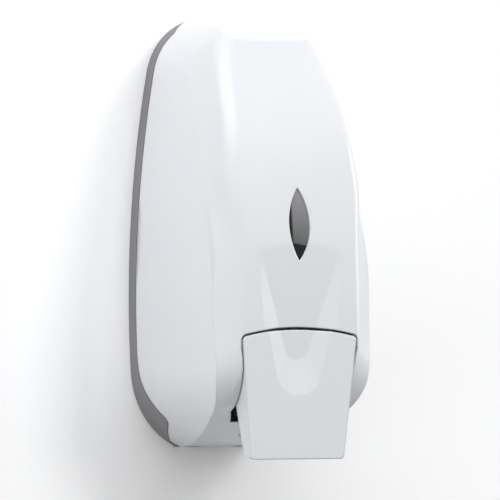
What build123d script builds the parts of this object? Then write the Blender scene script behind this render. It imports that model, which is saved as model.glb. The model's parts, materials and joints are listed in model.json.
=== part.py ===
"""Wall mounted soap dispenser: a hinged cover with a push lever over a bottle and a small piston pump.

Millimetres. X runs across, Z up, and depth is measured out from the wall along -Y.
Heights start at the cover's bottom edge until the parts are written; there the origin moves to
the centre of the four wall screws, on the wall.
"""
import os
from functools import cache
from math import cos, pi, radians, sin, sqrt, tan

from build123d import *

# Casing seen from the front
cover_height = 279.5
widest_half_width = 62.2
widest_height = 98.0
side_bow_radius = 780.0
top_corner_radius = 44.0
bottom_corner_radius = 57.0
bottom_corner_drop = 4.0
side_draft = 0.6
cover_wall = 2.5

# Casing seen from the side: the underside sweeps up to the front, as depth and height, and the top
# falls gently forward to a brow, as depth and drop below the cover's height
bowl_points = [(0.0, 0.0), (28.5, 3.3), (66.3, 15.1), (83.2, 23.9), (99.0, 35.0), (115.0, 50.0)]
bowl_ways = [(1.0, 0.06), (0.7, 0.7)]
top_points = [(0.0, -1.0), (45.0, 4.6), (61.5, 9.0)]
brow_end = (71.0, 15.5)

# Front of the cover: height, half width and depth where panel and bevels would meet, slope of the bevels
low_stations = [
    (-15.0, 46.0, 72.0, 2.0),
    (24.0, 46.0, 84.8, 4.0),
    (35.0, 46.0, 95.4, 9.0),
    (48.0, 46.0, 102.8, 19.0),
    (70.0, 45.4, 106.2, 30.0),
    (110.0, 44.6, 106.5, 33.0),
    (135.0, 45.4, 105.5, 41.0),
]

# The same further up, with the drop below the cover's height instead of the height
high_stations = [
    (118.5, 49.8, 102.8, 62.4),
    (73.5, 48.4, 94.4, 78.2),
    (34.5, 43.6, 78.6, 83.4),
    (14.5, 37.4, 70.0, 86.7),
    (-5.5, 27.0, 60.0, 88.0),
]
panel_crown = 1.0
bevel_run = 45.0
panel_edge_radius = 12.0

# Back plate and its rim, whose front edge meets the cover
plate_thickness = 3.0
rim_depth = 8.0
rim_wall = 2.5
rim_gap = 0.5
rim_low_point = (0.0, 1.5)
rim_low_tip = (25.4, 17.6)
rim_shoulder_height = 62.0
rim_high_tip = (9.0, cover_height - 10.0)
rim_high_point = (0.0, cover_height - 2.1)
rim_tip_radius = 3.0
lip_wall = 1.6
lip_depth = 12.0
lip_bottom = 60.0
lip_top = cover_height - 29.5

# Wall screws
screw_spacing_x = 70.0
screw_spacing_z = 140.0
screw_centre_height = 150.0
screw_hole_radius = 2.6
screw_boss_radius = 6.5
screw_boss_depth = 5.0

# Cover hinge at the bottom, close to the wall
hinge_depth = 3.4
hinge_height = 3.4
hinge_pin_radius = 1.25
hinge_knuckle_radius = 3.1
hinge_split = 22.4
knuckle_length = 8.0
lug_length = 6.0
hinge_clearance = 0.4
hinge_relief_depth = 5.4
running_clearance = 0.05

# Level window
window_half_width = 8.2
window_half_height = 23.7
window_height = 144.4
window_flange = 4.0
window_thickness = 1.6
window_recess = 1.0
window_gap = 0.15

# Push lever
lever_top_height = 77.0
lever_corner_height = 72.0
lever_bottom_height = -7.3
lever_top_half = 44.4
lever_bottom_half = 36.9
lever_top_depth = 106.2
lever_bottom_depth = lever_top_depth - 3.2
lever_foot_depth = lever_bottom_depth - 8.5
lever_wall = 2.5
lever_lean = 8.0
lever_knee = (lever_top_depth - 18.2, 27.8)
lever_back_depth = lever_top_depth - 20.2
lever_corner_radius = 3.0
lever_gap = 1.3
lever_pivot_depth = lever_top_depth - 13.2
lever_pivot_height = 66.0
lever_pin_radius = 2.0
lever_boss_radius = 4.5
pin_boss_half_height = 6.0
pin_boss_length = 5.0
cutout_bottom = 17.4
cutout_bottom_half = 30.5
cutout_flare_height = 24.0
cutout_flare_half = 38.4

# Shallow thumb channel that runs down the panel and ends on the lever
channel_top = 140.0
channel_top_half = 35.5
channel_floor_corner = (9.0, 64.0)
channel_floor_end = 57.5
channel_floor_depth = lever_top_depth - 4.3
channel_top_depth = 107.2
channel_rim_top_half = 39.6
channel_rim_corner = (27.0, 28.0)
channel_rim_end = 2.0
channel_rim_depth = lever_top_depth + 2.1

# Pump: a piston on a level axis under the bottle
pump_height = 31.0
pump_back_depth = 37.5
pump_front_depth = 70.0
pump_bore_radius = 8.0
pump_wall = 2.5
pump_cap_wall = 2.0
pump_cap_skirt = 8.0
pump_cap_face = 3.0
piston_length = 6.5
piston_rest_gap = 0.3
rod_radius = 4.0
plunger_face_depth = lever_top_depth - 17.2
plunger_button_radius = 9.0
plunger_button_thickness = 3.0
seal_width = 2.4
seal_depth = 1.3
bumper_radius = 6.0
bumper_gap = 0.3
trunnion_radius = 3.0
trunnion_depth = 50.0

# Pump spring
spring_wire_radius = 0.55
spring_coil_radius = 6.2
spring_turns = 7

# Inlet and outlet
inlet_depth = 46.0
inlet_radius = 7.0
inlet_bore_radius = 5.0
inlet_top = 61.0
inlet_web_height = 46.0
inlet_web = 1.5
valve_stem_radius = 1.5
valve_disc_radius = 4.3
valve_disc_thickness = 1.0
valve_bulb_radius = 2.2
spout_seal_height = 56.0
seal_ring_section = 1.2
outlet_depth = 54.0
outlet_radius = 6.0
outlet_bore_radius = 3.0
outlet_bottom = 15.0
nozzle_wall = 1.7
nozzle_tip_height = 4.5
nozzle_tip_radius = 4.4
nozzle_orifice_radius = 1.9
duckbill_flange = 1.2
duckbill_radius = 3.2
duckbill_length = 5.5
duckbill_lip = 0.7
nozzle_hole_clearance = 2.5

# Bottle
bottle_half_width = 44.0
bottle_bottom = 66.0
bottle_top = cover_height - 43.5
bottle_back = 12.0
bottle_front = 83.0
bottle_slope_height = 150.0
bottle_top_front = 64.0
bottle_wall = 1.8
bottle_corner_radius = 12.0
bottle_edge_radius = 10.0
spout_wall = 2.4
spout_bottom = 50.0
spout_clearance = 0.3
fill_depth = 37.0
fill_radius = 19.0
collar_wall = 2.5
collar_height = 6.0
lid_wall = 2.0
lid_clearance = 0.3
lid_skirt = 4.5
lid_seal_thickness = 1.0
lid_grip = (30.0, 4.0, 5.0)
bottle_key_half = 34.0
bottle_neck_half = 30.0
bottle_key_bottom = 110.0
bottle_key_top = 190.0
bottle_key_thickness = 3.0
rail_wall = 3.0
rail_clearance = 0.4

# Pump bracket
bracket_flange_half = 26.0
bracket_flange_bottom = 18.0
bracket_flange_top = 54.0
bracket_thickness = 3.0
bracket_arm_bottom = 22.0
bracket_arm_top = 40.0
bracket_arm_front = 58.0
bracket_clearance = 0.4
bracket_web_front = 34.0
bracket_screw_x = 20.0
bracket_screw_heights = (24.0, 47.0)
bracket_screw_radius = 1.9
bracket_screw_head_radius = 3.6
bracket_screw_head = 2.4
bracket_screw_tip = 0.6

# Key lock at the top
lock_half_width = 8.0
lock_bottom = cover_height - 35.5
lock_length = 20.0
lock_nose_half = 4.0
lock_nose_length = 6.0
lock_thickness = 4.0
lock_clearance = 0.3
lock_rail = 3.0
lock_rail_lip = 1.6
catch_half_width = 9.0
catch_thickness = 3.0
catch_bottom = cover_height - 7.7
key_slot_half = 3.5
key_slot_width = 2.4

# Views used for sketching: x depth and y up from the side, x across and y depth from below
side_view = Plane(origin=(0, 0, 0), x_dir=(0, -1, 0), z_dir=(-1, 0, 0))
low_view = Plane(origin=(0, 0, 0), x_dir=(1, 0, 0), z_dir=(0, 0, -1))
far = 200.0


def place(x, depth, height):
    """A point by its distance across, out from the wall and up."""
    return (x, -depth, height)


def front_prism(sketch, back, front):
    """Stand a front-view sketch between two depths."""
    return extrude(Plane.XZ.offset(back) * sketch, amount=front - back)


def drafted_prism(sketch, back, front):
    """Stand a front-view sketch between two depths, narrowing outwards by the moulding draft."""
    return extrude(Plane.XZ.offset(back) * sketch, amount=front - back, taper=side_draft)


def side_prism(sketch, left, right):
    """Stretch a side-view sketch between two places across the width."""
    return extrude(side_view.offset(-right) * sketch, amount=right - left)


def block(left, right, back, front, bottom, top):
    """A plain block given by its limits."""
    size = (right - left, front - back, top - bottom)
    return Pos(*place((left + right) / 2, (back + front) / 2, (bottom + top) / 2)) * Box(*size)


def pair(shape):
    """A shape and its mirror image across the middle plane."""
    return [shape, mirror(shape, Plane.YZ)]


def add_all(shape, others):
    for other in others:
        shape = shape + other
    return shape


def cut_all(shape, others):
    for other in others:
        shape = shape - other
    return shape


def across(radius, left, right, depth, height):
    """A cylinder along X."""
    return Pos(*place((left + right) / 2, depth, height)) * Rot(0, 90, 0) * Cylinder(radius, right - left)


def outward(radius, back, front, x, height):
    """A cylinder along the depth."""
    return Pos(*place(x, (back + front) / 2, height)) * Rot(90, 0, 0) * Cylinder(radius, front - back)


def upright(radius, bottom, top, depth):
    """A cylinder along Z in the middle plane."""
    return Pos(*place(0, depth, (bottom + top) / 2)) * Cylinder(radius, top - bottom)


def turned(points, depth):
    """A shape turned about a vertical axis in the middle plane from (radius, height) points."""
    profile = Plane.XZ * make_face(Polyline(*points, close=True))
    return Pos(*place(0, depth, 0)) * revolve(profile, Axis.Z)


def turned_outward(points, height):
    """A shape turned about a level axis out from the wall, from (radius, depth) points."""
    profile = low_view * make_face(Polyline(*points, close=True))
    return Pos(0, 0, height) * revolve(profile, Axis.Y)


def casing_outline(inset=0.0):
    """Front view of the casing: bowed sides between rounded corners."""
    bow_centre = widest_half_width - side_bow_radius
    bottom = -bottom_corner_drop

    def half_width(height):
        return bow_centre + sqrt(side_bow_radius**2 - (height - widest_height) ** 2)

    low = half_width(bottom)
    high = half_width(cover_height)
    right = ThreePointArc((low, bottom), (widest_half_width, widest_height), (high, cover_height))
    left = mirror(right, Plane.YZ)
    lower = Line((-low, bottom), (low, bottom))
    upper = Line((-high, cover_height), (high, cover_height))
    outline = make_face([right, left, lower, upper])
    # A corner's arc may take up no more than its half of the top edge
    top_radius = min(top_corner_radius, 1.2 * high)
    outline = fillet(outline.vertices().group_by(Axis.Y)[0], bottom_corner_radius)
    outline = fillet(outline.vertices().group_by(Axis.Y)[-1], top_radius)
    return offset(outline, -inset) if inset else outline


def moved_sideways(curve, distance, count):
    """Points along a curve, moved to its left by a distance."""
    points = []
    for step in range(count):
        share = step / (count - 1)
        way = curve % share
        points.append((curve @ share) + Vector(-way.Y, way.X) * distance)
    return points


def below_top(depth, drop):
    """A side-view point by its depth and its drop below the cover's height."""
    return (depth, cover_height - drop)


def cover_profile(inset=0.0):
    """Side view of the cover, open towards the wall."""
    bowl = Spline(*bowl_points, tangents=bowl_ways)
    top = ThreePointArc(*[below_top(*point) for point in top_points])
    brow = TangentArc(top @ 1, below_top(*brow_end), tangent=top % 1)
    if inset:
        bowl = Spline(*moved_sideways(bowl, inset, len(bowl_points)), tangents=bowl_ways)
        top = ThreePointArc(*moved_sideways(top, -inset, 3))
        brow = ThreePointArc(*moved_sideways(brow, -inset, 3))
    front_corner = (brow @ 1) + (brow % 1) * bevel_run
    back_low = (-far, (bowl @ 0).Y)
    back_high = (-far, (top @ 0).Y)
    edges = [
        Line(back_low, bowl @ 0),
        bowl,
        Line(bowl @ 1, front_corner),
        Line(front_corner, brow @ 1),
        brow,
        top,
        Line(top @ 0, back_high),
        Line(back_high, back_low),
    ]
    return make_face(edges)


def cover_front(inset=0.0):
    """Panel and bevels, lofted upwards through the stations."""
    sections = []
    upper = [(cover_height - drop, *rest) for drop, *rest in high_stations]
    for height, half, depth, bevel in low_stations + upper:
        slope = radians(bevel)
        corner = (half - inset * tan(slope / 2), depth - inset)
        edge = (corner[0] + bevel_run * cos(slope), corner[1] - bevel_run * sin(slope))
        right = Polyline((edge[0], -far), edge, corner)
        left = mirror(right, Plane.YZ)
        panel = ThreePointArc(corner, (0, corner[1] + panel_crown), (-corner[0], corner[1]))
        back = Line((-edge[0], -far), (edge[0], -far))
        section = make_face([*right.edges(), panel, *left.edges(), back])
        section = fillet(section.vertices().group_by(Axis.Y)[-1], panel_edge_radius)
        sections.append(low_view.offset(-height) * section)
    return loft(sections)


@cache
def cover_form(inset=0.0):
    """The cover's outer form, or the same form drawn in by a wall."""
    form = drafted_prism(casing_outline(inset), -inset, far)
    form = form & side_prism(cover_profile(inset), -far, far)
    return form & cover_front(inset)


def rim_profile(gap=0.0):
    """Side view of the back plate and its rim, with the raised cheeks at the bottom."""
    rim_top = (rim_depth, rim_high_tip[1] - 3 * rim_tip_radius)
    shoulder = TangentArc((rim_depth, rim_shoulder_height), rim_low_tip, tangent=(0, -1))
    edges = [
        Line(rim_low_point, rim_low_tip),
        shoulder,
        Line(shoulder @ 0, rim_top),
        Line(rim_top, rim_high_tip),
        Line(rim_high_tip, rim_high_point),
        Line(rim_high_point, (-far, rim_high_point[1])),
        Line((-far, rim_high_point[1]), (-far, rim_low_point[1])),
        Line((-far, rim_low_point[1]), rim_low_point),
    ]
    profile = make_face(edges)
    tip = profile.vertices().sort_by(Axis.X)[-1]
    profile = fillet(tip, rim_tip_radius)
    return offset(profile, gap) if gap else profile


def lever_outline(grow=0.0):
    """Front view of the push lever: arched top, sides that narrow downwards."""
    top_left = (-lever_top_half, lever_corner_height)
    top_right = (lever_top_half, lever_corner_height)
    bottom_left = (-lever_bottom_half, lever_bottom_height)
    bottom_right = (lever_bottom_half, lever_bottom_height)
    top = ThreePointArc(top_right, (0, lever_top_height), top_left)
    rest = Polyline(top_left, bottom_left, bottom_right, top_right)
    outline = make_face([top, *rest.edges()])
    outline = fillet(outline.vertices(), lever_corner_radius)
    return offset(outline, grow) if grow else outline


def lever_profile(inset=0.0):
    """Side view of the push lever, open at the back when drawn in by a wall."""
    slope = (lever_top_depth - lever_bottom_depth) / (lever_top_height - lever_bottom_height)
    top = lever_top_height + lever_wall
    front_top = (lever_top_depth + slope * lever_wall - inset, top)
    front_bottom = (lever_bottom_depth - inset, lever_bottom_height)
    if inset:
        back = [(0, lever_bottom_height), (0, top)]
    else:
        back = [
            (lever_foot_depth, lever_bottom_height),
            lever_knee,
            (lever_back_depth, (lever_knee[1] + lever_pivot_height) / 2),
            (lever_back_depth, top),
        ]
    return make_face(Polyline(front_top, front_bottom, *back, close=True))


@cache
def cover_inside(inset):
    """The space inside a cover wall, drawn in behind the thumb channel too."""
    return cover_form(inset) - channel(inset)


def channel(back=0.0):
    """The space of the thumb channel: a tilted floor with flared sides and a round lower end."""

    def outline(top_half, corner, end):
        right = Line((top_half, channel_top), corner)
        left = mirror(right, Plane.YZ)
        lower = ThreePointArc(corner, (0, end), (-corner[0], corner[1]))
        upper = Line((-top_half, channel_top), (top_half, channel_top))
        return make_face([right, lower, left, upper])

    rise = channel_top - channel_floor_end
    tilt = (channel_top_depth - channel_floor_depth) / rise
    floor_plane = Plane(
        origin=place(0, channel_floor_depth - tilt * channel_floor_end - back, 0),
        x_dir=(1, 0, 0),
        z_dir=(0, -1, -tilt),
    )
    rim_plane = Plane.XZ.offset(channel_rim_depth - back)
    floor = floor_plane * outline(channel_top_half, channel_floor_corner, channel_floor_end)
    rim = rim_plane * outline(channel_rim_top_half, channel_rim_corner, channel_rim_end)
    return loft([floor, rim], ruled=True)


def almond(half_width, half_height):
    """Pointed oval made of two arcs."""
    tip = (0, half_height)
    foot = (0, -half_height)
    right = ThreePointArc(tip, (half_width, 0), foot)
    left = ThreePointArc(foot, (-half_width, 0), tip)
    return Pos(0, window_height) * make_face([right, left])


def make_back_plate():
    profile = side_prism(rim_profile(), -far, far)
    plate = front_prism(casing_outline(), 0, plate_thickness) & profile
    rim = front_prism(casing_outline() - casing_outline(rim_wall), 0, rim_low_tip[0] + rim_wall) & profile
    lip_outside = rim_wall + rim_gap
    lip_outline = casing_outline(lip_outside) - casing_outline(lip_outside + lip_wall)
    lip = front_prism(lip_outline, plate_thickness / 2, lip_depth)
    lip = lip & block(-far, far, 0, far, lip_bottom, lip_top)
    plate = plate + rim + lip
    screw_x = screw_spacing_x / 2
    for height in (screw_centre_height - screw_spacing_z / 2, screw_centre_height + screw_spacing_z / 2):
        boss = outward(screw_boss_radius, 0, screw_boss_depth, screw_x, height)
        hole = outward(screw_hole_radius, -1, screw_boss_depth + 1, screw_x, height)
        plate = cut_all(add_all(plate, pair(boss)), pair(hole))

    # Hinge lugs and the notch for the cover's knuckles
    notch_top = hinge_height + hinge_knuckle_radius + hinge_clearance
    plate = plate - block(-hinge_split, hinge_split, -1, plate_thickness + 1, -1, notch_top)
    lug_left = hinge_split + hinge_clearance / 2
    lug_right = lug_left + lug_length
    lug = across(hinge_knuckle_radius, lug_left, lug_right, hinge_depth, hinge_height)
    lug = lug + block(lug_left, lug_right, 0, hinge_depth, hinge_height, notch_top)
    pin_hole = across(hinge_pin_radius, lug_left - 1, lug_right, hinge_depth, hinge_height)
    plate = cut_all(add_all(plate, pair(lug)), pair(pin_hole))

    # Rails that hold the bottle's key, and rails that guide the lock
    rail_front = bottle_back - bottle_key_thickness + rail_clearance
    rail_left = bottle_key_half + rail_clearance
    rail_right = rail_left + rail_wall
    rail = block(rail_left, rail_right, plate_thickness, rail_front, bottle_key_bottom, bottle_key_top)
    plate = add_all(plate, pair(rail))
    lock_front = plate_thickness + lock_clearance + lock_thickness
    hook_back = lock_front + lock_clearance
    hook_front = hook_back + lock_rail_lip
    guide_left = lock_half_width + lock_clearance
    guide_right = guide_left + lock_rail
    guide_top = lock_bottom + lock_length
    guide = block(guide_left, guide_right, plate_thickness, hook_front, lock_bottom, guide_top)
    hook = block(guide_left - lock_rail / 2, guide_right, hook_back, hook_front, lock_bottom, guide_top)
    plate = add_all(plate, pair(guide + hook))
    ledge_top = lock_bottom - lock_clearance
    ledge_bottom = ledge_top - lock_rail
    plate = plate + block(-guide_right, guide_right, plate_thickness, lock_front, ledge_bottom, ledge_top)

    # Pilot holes of the bracket's screws
    pilot_radius = bracket_screw_radius + running_clearance
    for height in bracket_screw_heights:
        pilot = outward(pilot_radius, bracket_screw_tip, far, bracket_screw_x, height)
        plate = cut_all(plate, pair(pilot))
    return plate


def make_hinge_pins():
    left = hinge_split - knuckle_length
    right = hinge_split + hinge_clearance / 2 + lug_length
    return Compound(pair(across(hinge_pin_radius, left, right, hinge_depth, hinge_height)))


def make_front_cover():
    cover = cover_form() - cover_inside(cover_wall) - channel()
    cover = cover - side_prism(rim_profile(rim_gap), -far, far)

    # Openings: window, lever, nozzle and key
    cover = cover - front_prism(almond(window_half_width, window_half_height), bottle_front, far)
    flare = make_face(
        Polyline(
            (-cutout_bottom_half, cutout_bottom),
            (cutout_bottom_half, cutout_bottom),
            (cutout_flare_half, cutout_flare_height),
            (lever_top_half + lever_gap, lever_pivot_height),
            (-lever_top_half - lever_gap, lever_pivot_height),
            (-cutout_flare_half, cutout_flare_height),
            close=True,
        )
    )
    upper = lever_outline(lever_gap) & (Pos(0, far / 2 + lever_pivot_height) * Rectangle(far, far))
    cover = cover - front_prism(flare + upper, outlet_depth, far)
    hole_radius = outlet_radius + nozzle_wall + nozzle_hole_clearance
    cover = cover - upright(hole_radius, -far, pump_height, outlet_depth)
    lock_middle = plate_thickness + lock_clearance + lock_thickness / 2
    slot_back = lock_middle - key_slot_width / 2
    slot_front = lock_middle + key_slot_width / 2
    cover = cover - block(-key_slot_half, key_slot_half, slot_back, slot_front, catch_bottom, far * 2)

    # Hinge knuckles
    relief_top = hinge_height + hinge_relief_depth
    cover = cover - block(-far, far, -1, hinge_relief_depth, -far, relief_top)
    lug_space = across(
        hinge_knuckle_radius + hinge_clearance,
        hinge_split - hinge_clearance / 2,
        hinge_split + lug_length + hinge_clearance,
        hinge_depth,
        hinge_height,
    )
    cover = cut_all(cover, pair(lug_space))
    knuckle_left = hinge_split - knuckle_length
    knuckle_right = hinge_split - hinge_clearance / 2
    knuckle_bottom = hinge_height - hinge_knuckle_radius
    root_front = 2 * hinge_relief_depth
    knuckle = across(hinge_knuckle_radius, knuckle_left, knuckle_right, hinge_depth, hinge_height)
    root = block(knuckle_left, knuckle_right, hinge_depth, root_front, knuckle_bottom, hinge_height)
    cover = add_all(cover, pair(knuckle + root))
    pin_hole = across(hinge_pin_radius + running_clearance, 0, knuckle_right, hinge_depth, hinge_height)
    cover = cut_all(cover, pair(pin_hole))

    # Bosses for the lever's pins, and the catch behind which the lock rises
    boss_left = lever_top_half + lever_gap
    boss_right = boss_left + pin_boss_length
    boss = block(
        boss_left,
        boss_right,
        lever_pivot_depth - pin_boss_half_height,
        far,
        lever_pivot_height - pin_boss_half_height,
        lever_pivot_height + pin_boss_half_height,
    )
    boss = boss & cover_form(cover_wall / 2)
    pin_hole = across(lever_pin_radius, 0, boss_right, lever_pivot_depth, lever_pivot_height)
    cover = cut_all(add_all(cover, pair(boss)), pair(pin_hole))
    catch_back = plate_thickness + 2 * lock_clearance + lock_thickness
    catch_front = catch_back + catch_thickness
    catch = block(-catch_half_width, catch_half_width, catch_back, catch_front, catch_bottom, far * 2)
    return cover + (catch & cover_form(cover_wall / 2))


def make_level_window():
    behind = cover_inside(cover_wall + window_thickness)
    flange = almond(window_half_width + window_flange, window_half_height + window_flange)
    pane = almond(window_half_width - window_gap, window_half_height - window_gap)
    flange = cover_inside(cover_wall) & front_prism(flange, bottle_front, far)
    pane = cover_inside(window_recess) & front_prism(pane, bottle_front, far)
    return flange + pane - behind


def make_push_lever():
    front = Plane.XZ.offset(lever_top_depth)
    outer = extrude(front * lever_outline(), amount=-far / 4, taper=lever_lean)
    outer = outer + front_prism(lever_outline(), lever_top_depth, lever_top_depth + lever_wall)
    outer = outer & side_prism(lever_profile(), -far, far)
    inner = extrude(front * lever_outline(-lever_wall), amount=-far / 4, taper=lever_lean)
    inner = inner & side_prism(lever_profile(lever_wall), -far, far)
    inner = inner - channel(lever_wall)
    lever = outer - inner - channel()

    # Pivot bosses on the side walls
    boss_left = lever_top_half - 4 * lever_wall
    boss_right = lever_top_half - lever_wall / 2
    pin_hole = across(lever_pin_radius + running_clearance, 0, far, lever_pivot_depth, lever_pivot_height)
    boss = across(lever_boss_radius, boss_left, boss_right, lever_pivot_depth, lever_pivot_height)
    boss = boss & (outer + inner)
    lever = cut_all(add_all(lever, pair(boss)), pair(pin_hole))

    # Stem that pushes the pump, on a rib down the middle
    stem_back = plunger_face_depth + bumper_gap + bumper_radius
    stem = outward(bumper_radius, stem_back, lever_top_depth, 0, pump_height)
    rib_half = lever_wall / 2
    rib_bottom = lever_bottom_height + lever_wall
    rib = block(-rib_half, rib_half, stem_back, lever_top_depth, rib_bottom, lever_pivot_height)
    return lever + ((stem + rib) & (outer - channel()))


def make_lever_bumper():
    centre = plunger_face_depth + bumper_gap + bumper_radius
    ball = Pos(*place(0, centre, pump_height)) * Sphere(bumper_radius)
    return ball & block(-far, far, 0, centre, -far, far)


def make_lever_pins():
    left = lever_top_half - 4 * lever_wall
    right = lever_top_half + lever_gap + pin_boss_length
    return Compound(pair(across(lever_pin_radius, left, right, lever_pivot_depth, lever_pivot_height)))


def make_pump_body():
    outside = pump_bore_radius + pump_wall
    body = outward(outside, pump_back_depth, pump_front_depth, 0, pump_height)
    body = body + upright(inlet_radius, pump_height, inlet_top, inlet_depth)
    body = body + upright(outlet_radius, outlet_bottom, pump_height, outlet_depth)
    trunnion_reach = outside + bracket_clearance + bracket_thickness
    body = body + across(trunnion_radius, -trunnion_reach, trunnion_reach, trunnion_depth, pump_height)
    bore_back = pump_back_depth + pump_wall
    body = body - outward(pump_bore_radius, bore_back, pump_front_depth + 1, 0, pump_height)
    body = body - upright(inlet_bore_radius, pump_height, inlet_web_height, inlet_depth)
    body = body - upright(inlet_bore_radius, inlet_web_height + inlet_web, inlet_top + 1, inlet_depth)
    body = body - upright(valve_stem_radius + running_clearance, pump_height, inlet_top, inlet_depth)
    web_centre = Pos(*place(0, inlet_depth, inlet_web_height))
    for way in PolarLocations((valve_stem_radius + inlet_bore_radius) / 2, 4):
        body = body - web_centre * way * Cylinder(valve_stem_radius / 2, 4 * inlet_web)
    body = body - upright(outlet_bore_radius, 0, pump_height, outlet_depth)
    groove = turned(
        [
            (inlet_radius - seal_ring_section, spout_seal_height - seal_ring_section),
            (inlet_radius + 1, spout_seal_height - seal_ring_section),
            (inlet_radius + 1, spout_seal_height + seal_ring_section),
            (inlet_radius - seal_ring_section, spout_seal_height + seal_ring_section),
        ],
        inlet_depth,
    )
    return body - groove


def make_pump_cap():
    inside = pump_bore_radius + pump_wall + running_clearance
    outside = inside + pump_cap_wall
    rod_hole = rod_radius + running_clearance
    skirt_back = pump_front_depth - pump_cap_skirt
    return turned_outward(
        [
            (inside, skirt_back),
            (outside, skirt_back),
            (outside, pump_front_depth + pump_cap_face),
            (rod_hole, pump_front_depth + pump_cap_face),
            (rod_hole, pump_front_depth),
            (inside, pump_front_depth),
        ],
        pump_height,
    )


def make_pump_plunger():
    piston = pump_bore_radius - running_clearance
    front = pump_front_depth - piston_rest_gap
    back = front - piston_length
    middle = (front + back) / 2
    groove = piston - seal_depth
    button_back = plunger_face_depth - plunger_button_thickness
    return turned_outward(
        [
            (0, back),
            (piston, back),
            (piston, middle - seal_width / 2),
            (groove, middle - seal_width / 2),
            (groove, middle + seal_width / 2),
            (piston, middle + seal_width / 2),
            (piston, front),
            (rod_radius, front),
            (rod_radius, button_back),
            (plunger_button_radius, button_back),
            (plunger_button_radius, plunger_face_depth),
            (0, plunger_face_depth),
        ],
        pump_height,
    )


def make_plunger_seal():
    piston = pump_bore_radius - running_clearance
    middle = pump_front_depth - piston_rest_gap - piston_length / 2
    inside = piston - seal_depth + running_clearance
    outside = pump_bore_radius - running_clearance / 2
    back = middle - seal_width / 2 + running_clearance
    front = middle + seal_width / 2 - running_clearance
    return turned_outward([(inside, back), (outside, back), (outside, front), (inside, front)], pump_height)


def make_pump_spring():
    """One coil between the back of the bore and the piston, in quarter turns of tangent arcs."""
    back = pump_back_depth + pump_wall + spring_wire_radius
    front = pump_front_depth - piston_rest_gap - piston_length - spring_wire_radius
    pitch = (front - back) / spring_turns
    steps = 4 * spring_turns

    def point(step):
        angle = step * pi / 2
        x = spring_coil_radius * cos(angle)
        return Vector(*place(x, back + pitch * step / 4, pump_height + spring_coil_radius * sin(angle)))

    def heading(step):
        angle = step * pi / 2
        return Vector(-spring_coil_radius * sin(angle), -pitch / (2 * pi), spring_coil_radius * cos(angle))

    arcs = []
    for step in range(steps):
        arcs.extend(biarc(point(step), heading(step), point(step + 1), heading(step + 1)))
    path = Wire(arcs)
    section = Plane(origin=path @ 0, z_dir=path % 0) * Circle(spring_wire_radius)
    print("spring: gap between turns", round(pitch - 2 * spring_wire_radius, 2))
    return sweep(section, path)


def biarc(start, start_way, end, end_way):
    """Two tangent arcs between two points with given directions."""
    a = start_way.normalized()
    b = end_way.normalized()
    chord = end - start
    both = a + b
    # Equal tangent lengths: the joint lies midway between the two tangent tips
    spread = both.dot(both) - 4
    reach = chord.dot(both)
    length = (reach - sqrt(reach**2 - spread * chord.dot(chord))) / spread
    joint = (start + a * length + end - b * length) * 0.5
    middle_way = (end - b * length) - (start + a * length)
    return [TangentArc(start, joint, tangent=a), TangentArc(joint, end, tangent=middle_way)]


def make_inlet_valve():
    disc_bottom = inlet_web_height - valve_disc_thickness
    web_top = inlet_web_height + inlet_web
    bulb_top = web_top + 2 * valve_bulb_radius
    return turned(
        [
            (0, disc_bottom),
            (valve_disc_radius, disc_bottom),
            (valve_disc_radius, inlet_web_height),
            (valve_stem_radius, inlet_web_height),
            (valve_stem_radius, web_top),
            (valve_bulb_radius, web_top),
            (valve_stem_radius, bulb_top),
            (0, bulb_top),
        ],
        inlet_depth,
    )


def make_spout_seal():
    inside = inlet_radius - seal_ring_section + running_clearance
    outside = inlet_radius + spout_clearance - running_clearance
    half = seal_ring_section - running_clearance
    low = spout_seal_height - half
    high = spout_seal_height + half
    return turned([(inside, low), (outside, low), (outside, high), (inside, high)], inlet_depth)


def make_nozzle():
    socket = outlet_radius + running_clearance
    outside = outlet_radius + nozzle_wall
    top = outlet_bottom + outlet_radius / 2
    seat = outlet_bottom - duckbill_flange
    throat = duckbill_radius + running_clearance
    throat_end = seat - duckbill_length - nozzle_wall / 2
    return turned(
        [
            (socket, top),
            (outside, top),
            (outside, seat - nozzle_wall),
            (nozzle_tip_radius, nozzle_tip_height),
            (nozzle_orifice_radius, nozzle_tip_height),
            (nozzle_orifice_radius, throat_end),
            (throat, seat - nozzle_wall),
            (throat, seat),
            (socket, seat),
        ],
        outlet_depth,
    )


def make_outlet_valve():
    """Duckbill: a flange held by the nozzle, over a sleeve that closes to a slit."""
    seat = outlet_bottom - duckbill_flange
    flange = upright(outlet_radius - running_clearance, seat, outlet_bottom, outlet_depth)
    sleeve = upright(duckbill_radius, seat - nozzle_wall, seat, outlet_depth)
    round_end = Pos(*place(0, outlet_depth, seat - nozzle_wall)) * Circle(duckbill_radius)
    slit = RectangleRounded(2 * nozzle_orifice_radius, 2 * duckbill_lip, 0.9 * duckbill_lip)
    slit_end = Pos(*place(0, outlet_depth, seat - duckbill_length)) * slit
    beak = loft([slit_end, round_end])
    bore = upright(duckbill_radius - duckbill_lip, seat - nozzle_wall, outlet_bottom + 1, outlet_depth)
    return flange + sleeve + beak - bore


def bottle_solid(inset=0.0):
    """The bottle's form with a sloping front, or the same form drawn in by its wall."""
    profile = make_face(
        Polyline(
            (bottle_back, bottle_bottom),
            (bottle_front, bottle_bottom),
            (bottle_front, bottle_slope_height),
            (bottle_top_front, bottle_top),
            (bottle_back, bottle_top),
            close=True,
        )
    )
    profile = fillet(profile.vertices(), bottle_corner_radius)
    half = bottle_half_width - inset
    if inset:
        profile = offset(profile, -inset)
    solid = side_prism(profile, -half, half)
    sides = [e for e in solid.edges() if abs(abs((e @ 0.5).X) - half) < 0.01]
    return fillet(sides, bottle_edge_radius - inset)


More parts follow.
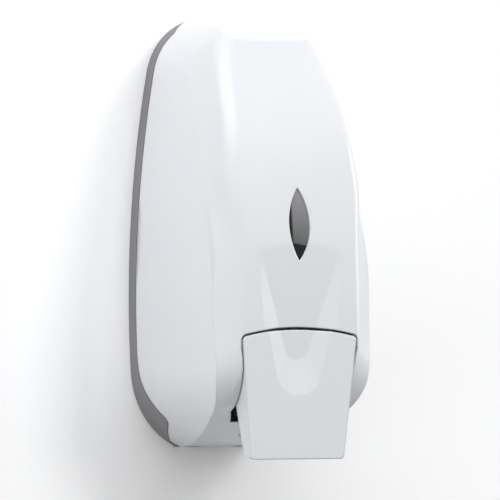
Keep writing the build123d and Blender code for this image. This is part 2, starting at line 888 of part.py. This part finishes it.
def make_reservoir():
    bore = inlet_radius + spout_clearance
    bottle = bottle_solid()
    bottle = bottle + upright(bore + spout_wall, spout_bottom, bottle_bottom + bottle_wall, inlet_depth)
    collar = fill_radius + collar_wall
    bottle = bottle + upright(collar, bottle_top - bottle_wall, bottle_top + collar_height, fill_depth)
    key_back = bottle_back - 2 * bottle_key_thickness
    neck_back = bottle_back - bottle_key_thickness
    neck_front = bottle_back + bottle_wall
    neck = (bottle_neck_half, neck_back, neck_front)
    key = (bottle_key_half, key_back, neck_back)
    for half, back, front in (neck, key):
        bottle = bottle + block(-half, half, back, front, bottle_key_bottom, bottle_key_top)
    bottle = bottle - bottle_solid(bottle_wall)
    bottle = bottle - upright(bore, spout_bottom - 1, bottle_bottom + 2 * bottle_wall, inlet_depth)
    collar_top = bottle_top + collar_height + 1
    return bottle - upright(fill_radius, bottle_top - 2 * bottle_wall, collar_top, fill_depth)


def make_lid_seal():
    low = bottle_top + collar_height
    high = low + lid_seal_thickness
    outside = fill_radius + collar_wall
    return turned([(fill_radius, low), (outside, low), (outside, high), (fill_radius, high)], fill_depth)


def make_reservoir_lid():
    inside = fill_radius + collar_wall + lid_clearance
    outside = inside + lid_wall
    under = bottle_top + collar_height + lid_seal_thickness
    top = under + lid_wall
    skirt = under - lid_skirt
    half_section = [(0, under), (inside, under), (inside, skirt), (outside, skirt), (outside, top), (0, top)]
    cap = turned(half_section, fill_depth)
    length, width, height = lid_grip
    back = fill_depth - width / 2
    front = fill_depth + width / 2
    return cap + block(-length / 2, length / 2, back, front, top - lid_wall / 2, top + height)


def make_pump_bracket():
    front = plate_thickness + bracket_thickness
    half = bracket_flange_half
    bracket = block(-half, half, plate_thickness, front, bracket_flange_bottom, bracket_flange_top)
    arm_left = pump_bore_radius + pump_wall + bracket_clearance
    arm_right = arm_left + bracket_thickness
    arm = block(arm_left, arm_right, plate_thickness, bracket_arm_front, bracket_arm_bottom, bracket_arm_top)
    slot_radius = trunnion_radius + running_clearance
    slot = across(slot_radius, 0, far, trunnion_depth, pump_height)
    slot = slot + block(0, far, trunnion_depth - slot_radius, trunnion_depth + slot_radius, pump_height, far)
    bracket = add_all(bracket, pair(arm - slot))
    web_top = bracket_arm_bottom + bracket_thickness
    web = block(-arm_right, arm_right, plate_thickness, bracket_web_front, bracket_arm_bottom, web_top)
    bracket = bracket + web
    for height in bracket_screw_heights:
        hole = outward(bracket_screw_radius + running_clearance, 0, far, bracket_screw_x, height)
        bracket = cut_all(bracket, pair(hole))
    return bracket


def make_bracket_screws():
    screws = []
    front = plate_thickness + bracket_thickness
    for height in bracket_screw_heights:
        shank = outward(bracket_screw_radius, bracket_screw_tip, front, bracket_screw_x, height)
        head = outward(bracket_screw_head_radius, front, front + bracket_screw_head, bracket_screw_x, height)
        screws.extend(pair(shank + head))
    return Compound(screws)


def make_lock_slide():
    back = plate_thickness + lock_clearance
    front = back + lock_thickness
    top = lock_bottom + lock_length
    nose = block(-lock_nose_half, lock_nose_half, back, front, top, top + lock_nose_length)
    return block(-lock_half_width, lock_half_width, back, front, lock_bottom, top) + nose


makers = {
    "back_plate": make_back_plate,
    "hinge_pins": make_hinge_pins,
    "front_cover": make_front_cover,
    "level_window": make_level_window,
    "push_lever": make_push_lever,
    "lever_bumper": make_lever_bumper,
    "lever_pins": make_lever_pins,
    "pump_body": make_pump_body,
    "pump_cap": make_pump_cap,
    "pump_plunger": make_pump_plunger,
    "plunger_seal": make_plunger_seal,
    "pump_spring": make_pump_spring,
    "inlet_valve": make_inlet_valve,
    "spout_seal": make_spout_seal,
    "outlet_valve": make_outlet_valve,
    "nozzle": make_nozzle,
    "reservoir": make_reservoir,
    "reservoir_lid": make_reservoir_lid,
    "lid_seal": make_lid_seal,
    "pump_bracket": make_pump_bracket,
    "bracket_screws": make_bracket_screws,
    "lock_slide": make_lock_slide,
}


def main():
    os.makedirs("parts", exist_ok=True)
    for name, maker in makers.items():
        export_step(Pos(0, 0, -screw_centre_height) * maker(), f"parts/{name}.step")


if __name__ == "__main__":
    main()
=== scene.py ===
"""Looks of the wall mounted soap dispenser: finishes, softened edges, wall, light and camera."""
import json
from math import cos, radians, sin

import bpy
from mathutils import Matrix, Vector


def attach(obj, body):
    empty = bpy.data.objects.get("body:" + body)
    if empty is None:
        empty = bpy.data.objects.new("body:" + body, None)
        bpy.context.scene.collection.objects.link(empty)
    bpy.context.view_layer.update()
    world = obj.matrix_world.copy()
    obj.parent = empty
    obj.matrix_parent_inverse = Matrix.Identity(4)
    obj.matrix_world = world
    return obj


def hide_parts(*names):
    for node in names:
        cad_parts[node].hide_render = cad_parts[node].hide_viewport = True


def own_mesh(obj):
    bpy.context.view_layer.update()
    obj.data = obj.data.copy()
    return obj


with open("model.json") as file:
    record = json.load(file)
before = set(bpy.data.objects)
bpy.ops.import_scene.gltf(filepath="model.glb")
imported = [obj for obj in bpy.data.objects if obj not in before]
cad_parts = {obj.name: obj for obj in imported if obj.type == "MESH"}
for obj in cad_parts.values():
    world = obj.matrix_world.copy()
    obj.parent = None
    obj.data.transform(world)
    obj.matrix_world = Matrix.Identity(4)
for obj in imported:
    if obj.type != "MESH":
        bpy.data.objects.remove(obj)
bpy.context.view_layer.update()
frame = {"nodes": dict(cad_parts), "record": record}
scene = bpy.context.scene

# Camera as in the photograph: left of the front, level, through a long lens.
# Lengths are in metres, the sensor's width in millimetres.
VIEW_AZIMUTH = radians(-34.2)
VIEW_ELEVATION = radians(-0.5)
VIEW_DISTANCE = 6.0
VIEW_WIDTH = 0.3246
VIEW_POINT = Vector((-0.0006, -0.0496, -0.0216))
VIEW_END = 50.0
SENSOR_WIDTH = 36.0

# Shades of the cover, the plate and the window, as linear colours
WHITE = (0.80, 0.815, 0.835)
WHITE_DEEP = (0.785, 0.80, 0.822)
GREY = (0.245, 0.236, 0.245)
GREY_DEEP = (0.222, 0.214, 0.222)
# The window's colours: painted shade, lighter above and darker downwards; black below a slanted line and in
# a painted shadow at its inner edge
LENS_SHADE_TOP = (0.33, 0.33, 0.34)
LENS_SHADE_MIDDLE = (0.128, 0.130, 0.128)
LENS_BLACK = (0.010, 0.010, 0.011)

# Share of a shade that is left in its deeper tone
METAL_DEEP = 0.85
MILKY_DEEP = 0.95

# Refraction, and the window's weak shine
MOULDED_REFRACTION = 1.53
MILKY_REFRACTION = 1.51
LENS_REFRACTION = 1.49
LENS_SHINE = 0.2

# Noise: the part of its range that is used, its scales in cells per metre, and its detail
NOISE_MIDDLE = (0.3, 0.7)
SHADE_SCALE = 18.0
GLOSS_SCALE = 45.0
MILKY_SHADE_SCALE = 30.0
MILKY_GLOSS_SCALE = 60.0
MILKY_GRAIN_SCALE = 350.0
LENS_GRAIN_SCALE = 300.0
DRIFT_DETAIL = 3.0
GRAIN_DETAIL = 2.0

# On metal, the gloss and the grain are finer than the shades by these factors
METAL_GLOSS_FINENESS = 3
METAL_GRAIN_FINENESS = 8

# Depth of relief, in metres
METAL_GRAIN_DEPTH = 0.00001
MILKY_GRAIN_DEPTH = 0.00003
LENS_GRAIN_DEPTH = 0.000004

# Clear lacquer and light under the skin of moulded pieces
COAT_ROUGHNESS = 0.12
LIGHT_DEPTH = 0.002

# Window: roughness, heights in metres of its upper tip and of the slanted line below which it is painted
# black, the line's slope across, the share of the height over which the line is blurred, and where across
# the painted shadow at its inner edge fades
LENS_ROUGHNESS = (0.06, 0.10)
WINDOW_TOP = 0.018
DARK_LINE = -0.0187
DARK_LINE_SLOPE = -0.17
DARK_LINE_BLUR = 0.02
LENS_EDGE_SHADOW = (-0.0060, -0.0040)

# Softened edges, in metres: the radius in general, on the plate and where the thumb channel starts,
# with the heights between which that zone fades in and out, and its start beside the window
EDGE_RADIUS = 0.0016
PLATE_EDGE_RADIUS = 0.0006
CHANNEL_EDGE_RADIUS = 0.008
CHANNEL_FADE_LOW = (-0.050, -0.024)
CHANNEL_FADE_HIGH = (0.012, 0.002)
BESIDE_WINDOW = (0.010, 0.014)
EDGE_SAMPLES = 8

# Wall behind the dispenser, in metres; rays that start within a hair of it pass, so that the plate's
# back is lit, and a weak glow lifts the paint where it is seen
WALL_PAINT = (0.96, 0.96, 0.965)
WALL_LIFT = 0.15
WALL_REACH = 3.0
WALL_Y = 0.0002
HAIR = 0.002

# Room, by height from straight below at -1 to straight above at 1: brightest half way up,
# dim below the horizon, with a light floor; and the backdrop that is seen
ROOM_SHADES = [
    (-1.0, (0.45, 0.445, 0.44)),
    (-0.7, (0.04, 0.039, 0.038)),
    (-0.15, (0.06, 0.059, 0.058)),
    (0.55, (0.70, 0.71, 0.72)),
    (1.0, (0.52, 0.53, 0.54)),
]
BACKDROP = (0.90, 0.90, 0.905)

PLAIN_LIGHT = (1.0, 1.0, 1.0)
COOL_LIGHT = (0.96, 0.98, 1.0)

# Places of the colour sockets on a Mix node
MIX_FACTOR = 0
MIX_FIRST = 6
MIX_SECOND = 7
MIX_RESULT = 2


def opaque(shade):
    """A shade with full cover."""
    return (*shade, 1)


def deeper(shade, share):
    """A shade brought down to a share of itself."""
    return tuple(share * part for part in shade)


def blank_material(name):
    """A material with a Principled shader, its tree and that shader."""
    material = bpy.data.materials.new(name)
    material.use_nodes = True
    tree = material.node_tree
    return material, tree, tree.nodes["Principled BSDF"]


def feed(tree, socket, value):
    """Give a socket its input: a link from another socket, or a fixed value."""
    if isinstance(value, bpy.types.NodeSocket):
        tree.links.new(value, socket)
    else:
        socket.default_value = value


def combine(tree, operation, *values):
    """Sockets or fixed numbers through a maths node."""
    node = tree.nodes.new("ShaderNodeMath")
    node.operation = operation
    for value, socket in zip(values, node.inputs):
        feed(tree, socket, value)
    return node.outputs[0]


def remap(tree, value, source, target, way="LINEAR"):
    """A value carried from one range over to another, and held at the ends."""
    node = tree.nodes.new("ShaderNodeMapRange")
    node.interpolation_type = way
    node.inputs["From Min"].default_value = source[0]
    node.inputs["From Max"].default_value = source[1]
    node.inputs["To Min"].default_value = target[0]
    node.inputs["To Max"].default_value = target[1]
    tree.links.new(value, node.inputs["Value"])
    return node.outputs["Result"]


def fade(tree, value, span):
    """A value that goes from 0 to 1 between two places, smoothly."""
    return remap(tree, value, span, (0, 1), "SMOOTHSTEP")


def mix_colours(tree, factor, first, second):
    """A colour between two others, each a socket or a fixed colour."""
    mix = tree.nodes.new("ShaderNodeMix")
    mix.data_type = "RGBA"
    feed(tree, mix.inputs[MIX_FACTOR], factor)
    feed(tree, mix.inputs[MIX_FIRST], first)
    feed(tree, mix.inputs[MIX_SECOND], second)
    return mix.outputs[MIX_RESULT]


def colour_ramp(tree, value, stops, way="LINEAR"):
    """A colour looked up in a row of shades between 0 and 1."""
    node = tree.nodes.new("ShaderNodeValToRGB")
    node.color_ramp.interpolation = way
    row = node.color_ramp.elements
    row.remove(row[1])
    row[0].position = stops[0][0]
    row[0].color = opaque(stops[0][1])
    for position, shade in stops[1:]:
        row.new(position).color = opaque(shade)
    tree.links.new(value, node.inputs["Fac"])
    return node.outputs["Color"]


def split_place(tree, space):
    """The coordinates of a point, in the object's space or as generated."""
    place = tree.nodes.new("ShaderNodeTexCoord")
    split = tree.nodes.new("ShaderNodeSeparateXYZ")
    tree.links.new(place.outputs[space], split.inputs[0])
    return split.outputs


def noise(tree, scale, detail=DRIFT_DETAIL):
    """Noise in object space, so that its grain has a real size."""
    place = tree.nodes.new("ShaderNodeTexCoord")
    texture = tree.nodes.new("ShaderNodeTexNoise")
    texture.inputs["Scale"].default_value = scale
    texture.inputs["Detail"].default_value = detail
    tree.links.new(place.outputs["Object"], texture.inputs["Vector"])
    return texture.outputs["Fac"]


def two_tone(tree, shader, first, second, scale):
    """Base colour that drifts between two close shades."""
    drift = remap(tree, noise(tree, scale), NOISE_MIDDLE, (0, 1))
    colour = mix_colours(tree, drift, opaque(first), opaque(second))
    tree.links.new(colour, shader.inputs["Base Color"])


def uneven_gloss(tree, shader, roughness, scale):
    """Roughness that drifts between two values."""
    drift = remap(tree, noise(tree, scale), NOISE_MIDDLE, roughness)
    tree.links.new(drift, shader.inputs["Roughness"])


def channel_softness(tree):
    """Edge radius in metres: small, but wide where the thumb channel runs out into the panel."""
    place = split_place(tree, "Object")
    aside = fade(tree, combine(tree, "ABSOLUTE", place["X"]), BESIDE_WINDOW)
    above = fade(tree, place["Z"], CHANNEL_FADE_LOW)
    below = fade(tree, place["Z"], CHANNEL_FADE_HIGH)
    zone = combine(tree, "MULTIPLY", combine(tree, "MULTIPLY", above, below), aside)
    return remap(tree, zone, (0, 1), (EDGE_RADIUS, CHANNEL_EDGE_RADIUS))


def grain(tree, shader, scale, depth, edge=None):
    """Fine relief over softly broken edges; the edge's radius is a number or a function of the tree."""
    bump = tree.nodes.new("ShaderNodeBump")
    bump.inputs["Distance"].default_value = depth
    tree.links.new(noise(tree, scale, GRAIN_DETAIL), bump.inputs["Height"])
    if edge:
        soft = tree.nodes.new("ShaderNodeBevel")
        soft.samples = EDGE_SAMPLES
        feed(tree, soft.inputs["Radius"], edge(tree) if callable(edge) else edge)
        tree.links.new(soft.outputs["Normal"], bump.inputs["Normal"])
    tree.links.new(bump.outputs["Normal"], shader.inputs["Normal"])


def moulded(name, shades, roughness, grain_scale, grain_depth, edge=None, coat=0.0, subsurface=0.0):
    """Moulded plastic or rubber: two close shades, uneven gloss and a fine grain."""
    material, tree, shader = blank_material(name)
    two_tone(tree, shader, *shades, SHADE_SCALE)
    uneven_gloss(tree, shader, roughness, GLOSS_SCALE)
    grain(tree, shader, grain_scale, grain_depth, edge)
    shader.inputs["IOR"].default_value = MOULDED_REFRACTION
    shader.inputs["Coat Weight"].default_value = coat
    shader.inputs["Coat Roughness"].default_value = COAT_ROUGHNESS
    shader.inputs["Subsurface Weight"].default_value = subsurface
    shader.inputs["Subsurface Radius"].default_value = (LIGHT_DEPTH, LIGHT_DEPTH, LIGHT_DEPTH)
    shader.inputs["Subsurface Scale"].default_value = 1.0
    return material


def metal(name, shade, roughness, scale):
    """Bright metal with fine marks."""
    material, tree, shader = blank_material(name)
    two_tone(tree, shader, shade, deeper(shade, METAL_DEEP), scale)
    uneven_gloss(tree, shader, roughness, scale * METAL_GLOSS_FINENESS)
    grain(tree, shader, scale * METAL_GRAIN_FINENESS, METAL_GRAIN_DEPTH)
    shader.inputs["Metallic"].default_value = 1.0
    return material


def translucent(name, shade, transmission, roughness):
    """Milky plastic that lets light through."""
    material, tree, shader = blank_material(name)
    two_tone(tree, shader, shade, deeper(shade, MILKY_DEEP), MILKY_SHADE_SCALE)
    uneven_gloss(tree, shader, roughness, MILKY_GLOSS_SCALE)
    grain(tree, shader, MILKY_GRAIN_SCALE, MILKY_GRAIN_DEPTH)
    shader.inputs["Transmission Weight"].default_value = transmission
    shader.inputs["IOR"].default_value = MILKY_REFRACTION
    return material


def level_window(name):
    """Polished window with its inside painted on: painted shade, grey above and darker downwards, black
    below a slanted line, and a painted shadow along its inner edge.
    """
    material, tree, shader = blank_material(name)
    place = split_place(tree, "Object")
    height = combine(tree, "MULTIPLY_ADD", place["X"], -DARK_LINE_SLOPE, place["Z"])
    level = remap(tree, height, (DARK_LINE, WINDOW_TOP), (0, 1))
    # Painted shade of the inside: grey at the top, darker downwards, black below the slanted line
    shade = colour_ramp(tree, level, [(0.0, LENS_BLACK), (DARK_LINE_BLUR, LENS_SHADE_MIDDLE), (1.0, LENS_SHADE_TOP)])
    # Painted shadow along the window's inner edge, in the same black
    colour = mix_colours(tree, fade(tree, place["X"], LENS_EDGE_SHADOW), opaque(LENS_BLACK), shade)
    tree.links.new(colour, shader.inputs["Base Color"])
    uneven_gloss(tree, shader, LENS_ROUGHNESS, GLOSS_SCALE)
    grain(tree, shader, LENS_GRAIN_SCALE, LENS_GRAIN_DEPTH)
    shader.inputs["IOR"].default_value = LENS_REFRACTION
    shader.inputs["Specular IOR Level"].default_value = LENS_SHINE
    return material


def make_materials():
    """One finish for each material slot of the record."""
    return {
        "white_plastic": moulded(
            "white_abs", shades=(WHITE, WHITE_DEEP), roughness=(0.28, 0.35),
            grain_scale=700.0, grain_depth=0.00001, edge=channel_softness, coat=0.12,
        ),
        "grey_plastic": moulded(
            "grey_abs", shades=(GREY, GREY_DEEP), roughness=(0.40, 0.52),
            grain_scale=2600.0, grain_depth=0.00004, edge=PLATE_EDGE_RADIUS,
        ),
        "smoked_lens": level_window("smoked_acrylic"),
        "clear_plastic": translucent(
            "natural_polyethylene", shade=(0.80, 0.82, 0.82), transmission=0.45, roughness=(0.34, 0.46),
        ),
        "lid_plastic": moulded(
            "white_polypropylene", shades=((0.74, 0.75, 0.75), (0.70, 0.71, 0.71)), roughness=(0.34, 0.44),
            grain_scale=1500.0, grain_depth=0.00003,
        ),
        "pump_plastic": moulded(
            "natural_polypropylene", shades=((0.70, 0.71, 0.70), (0.66, 0.67, 0.66)), roughness=(0.34, 0.44),
            grain_scale=1400.0, grain_depth=0.00002,
        ),
        "plunger_plastic": moulded(
            "acetal", shades=((0.62, 0.63, 0.65), (0.58, 0.59, 0.61)), roughness=(0.26, 0.34),
            grain_scale=1200.0, grain_depth=0.00002,
        ),
        "lock_plastic": moulded(
            "grey_acetal", shades=((0.10, 0.10, 0.105), (0.085, 0.085, 0.09)), roughness=(0.34, 0.42),
            grain_scale=1600.0, grain_depth=0.00002,
        ),
        "silicone": moulded(
            "silicone", shades=((0.62, 0.62, 0.60), (0.57, 0.57, 0.55)), roughness=(0.36, 0.46),
            grain_scale=900.0, grain_depth=0.00002, subsurface=0.3,
        ),
        "rubber": moulded(
            "nitrile", shades=((0.022, 0.022, 0.023), (0.016, 0.016, 0.017)), roughness=(0.50, 0.62),
            grain_scale=1800.0, grain_depth=0.00004,
        ),
        "steel": metal("zinc_steel", shade=(0.60, 0.60, 0.61), roughness=(0.22, 0.34), scale=120.0),
        "spring_steel": metal("spring_wire", shade=(0.54, 0.54, 0.56), roughness=(0.18, 0.28), scale=200.0),
    }


def dress_nodes():
    """Give every solid the finish of its slot."""
    materials = make_materials()
    slots = {row["node"]: row["material_slot"] for row in frame["record"]["subparts"]}
    for name, piece in frame["nodes"].items():
        for slot in piece.material_slots:
            slot.material = materials[slots[name]]


def make_return_spring():
    """The pump's spring as a copy of the part with a mesh of its own, attached to the base in its place; the
    real spring shortens towards the back of its bore as the plunger goes in.
    """
    wire = frame["nodes"]["pump_spring"].data.copy()
    spring = bpy.data.objects.new("return_spring", wire)
    scene.collection.objects.link(spring)
    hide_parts("pump_spring")
    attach(spring, "base")
    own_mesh(spring)


def seen_rays(tree):
    """One for rays that show the background: from the camera, off gloss and through clear pieces."""
    rays = tree.nodes.new("ShaderNodeLightPath")
    seen = rays.outputs["Is Camera Ray"]
    for kind in ("Is Glossy Ray", "Is Transmission Ray"):
        seen = combine(tree, "MAXIMUM", seen, rays.outputs[kind])
    return seen


def wall_material():
    """White painted wall, seen from the front only."""
    material = bpy.data.materials.new("wall_paint")
    material.use_nodes = True
    tree = material.node_tree
    tree.nodes.clear()
    paint = tree.nodes.new("ShaderNodeBsdfDiffuse")
    paint.inputs["Color"].default_value = opaque(WALL_PAINT)
    lift = tree.nodes.new("ShaderNodeEmission")
    tree.links.new(combine(tree, "MULTIPLY", seen_rays(tree), WALL_LIFT), lift.inputs["Strength"])
    front = tree.nodes.new("ShaderNodeAddShader")
    tree.links.new(paint.outputs[0], front.inputs[0])
    tree.links.new(lift.outputs[0], front.inputs[1])
    clear = tree.nodes.new("ShaderNodeBsdfTransparent")
    rays = tree.nodes.new("ShaderNodeLightPath")
    side = tree.nodes.new("ShaderNodeNewGeometry")
    near = combine(tree, "LESS_THAN", rays.outputs["Ray Length"], HAIR)
    passed = combine(tree, "MAXIMUM", side.outputs["Backfacing"], near)
    choice = tree.nodes.new("ShaderNodeMixShader")
    tree.links.new(passed, choice.inputs[0])
    tree.links.new(front.outputs[0], choice.inputs[1])
    tree.links.new(clear.outputs[0], choice.inputs[2])
    out = tree.nodes.new("ShaderNodeOutputMaterial")
    tree.links.new(choice.outputs[0], out.inputs["Surface"])
    return material


def make_wall():
    """One upright square just behind the plate, facing the front."""
    corners = [(-1, -1), (1, -1), (1, 1), (-1, 1)]
    mesh = bpy.data.meshes.new("wall")
    mesh.from_pydata([(WALL_REACH * x, WALL_Y, WALL_REACH * z) for x, z in corners], [], [(0, 1, 2, 3)])
    mesh.materials.append(wall_material())
    wall = bpy.data.objects.new("wall", mesh)
    scene.collection.objects.link(wall)


def make_world():
    """Light by height, and an even backdrop where it is seen."""
    world = bpy.data.worlds.new("room")
    scene.world = world
    world.use_nodes = True
    tree = world.node_tree
    height = remap(tree, split_place(tree, "Generated")["Z"], (-1, 1), (0, 1))
    stops = [((level + 1) / 2, shade) for level, shade in ROOM_SHADES]
    room = colour_ramp(tree, height, stops, "EASE")
    colour = mix_colours(tree, seen_rays(tree), room, opaque(BACKDROP))
    tree.links.new(colour, tree.nodes["Background"].inputs["Color"])


def area_light(name, place, width, height, power, colour=PLAIN_LIGHT, mirrored=True):
    """A soft lamp that points at the dispenser, and may leave no reflection on it."""
    lamp = bpy.data.lights.new(name, "AREA")
    lamp.shape = "RECTANGLE"
    lamp.size = width
    lamp.size_y = height
    lamp.energy = power
    lamp.color = colour
    holder = bpy.data.objects.new(name, lamp)
    holder.location = place
    holder.rotation_euler = (VIEW_POINT - Vector(place)).to_track_quat("-Z", "Y").to_euler()
    holder.visible_glossy = mirrored
    scene.collection.objects.link(holder)


def make_lamps():
    """A wide bank above, the key at the upper right, a lamp far right and a cool fill at the left."""
    area_light("bank", (-0.7, -1.3, 1.5), width=2.6, height=0.8, power=20.0)
    area_light("key", (0.95, -1.8, 0.85), width=0.7, height=0.7, power=16.5, mirrored=False)
    area_light("side", (2.2, -0.55, 0.3), width=0.8, height=0.8, power=7.5)
    area_light("fill", (-2.1, -0.65, -0.5), width=1.0, height=1.0, power=12.0, colour=COOL_LIGHT)


def make_camera():
    """The camera on its circle around the view point."""
    lens = bpy.data.cameras.new("camera")
    lens.sensor_width = SENSOR_WIDTH
    lens.lens = SENSOR_WIDTH * VIEW_DISTANCE / VIEW_WIDTH
    lens.clip_end = VIEW_END
    camera = bpy.data.objects.new("camera", lens)
    level = VIEW_DISTANCE * cos(VIEW_ELEVATION)
    rise = VIEW_DISTANCE * sin(VIEW_ELEVATION)
    way = Vector((level * sin(VIEW_AZIMUTH), -level * cos(VIEW_AZIMUTH), rise))
    camera.location = VIEW_POINT + way
    camera.rotation_euler = (-way).to_track_quat("-Z", "Y").to_euler()
    scene.collection.objects.link(camera)
    scene.camera = camera


dress_nodes()
make_return_spring()
make_wall()
make_world()
make_lamps()
make_camera()
scene.view_settings.view_transform = "Standard"
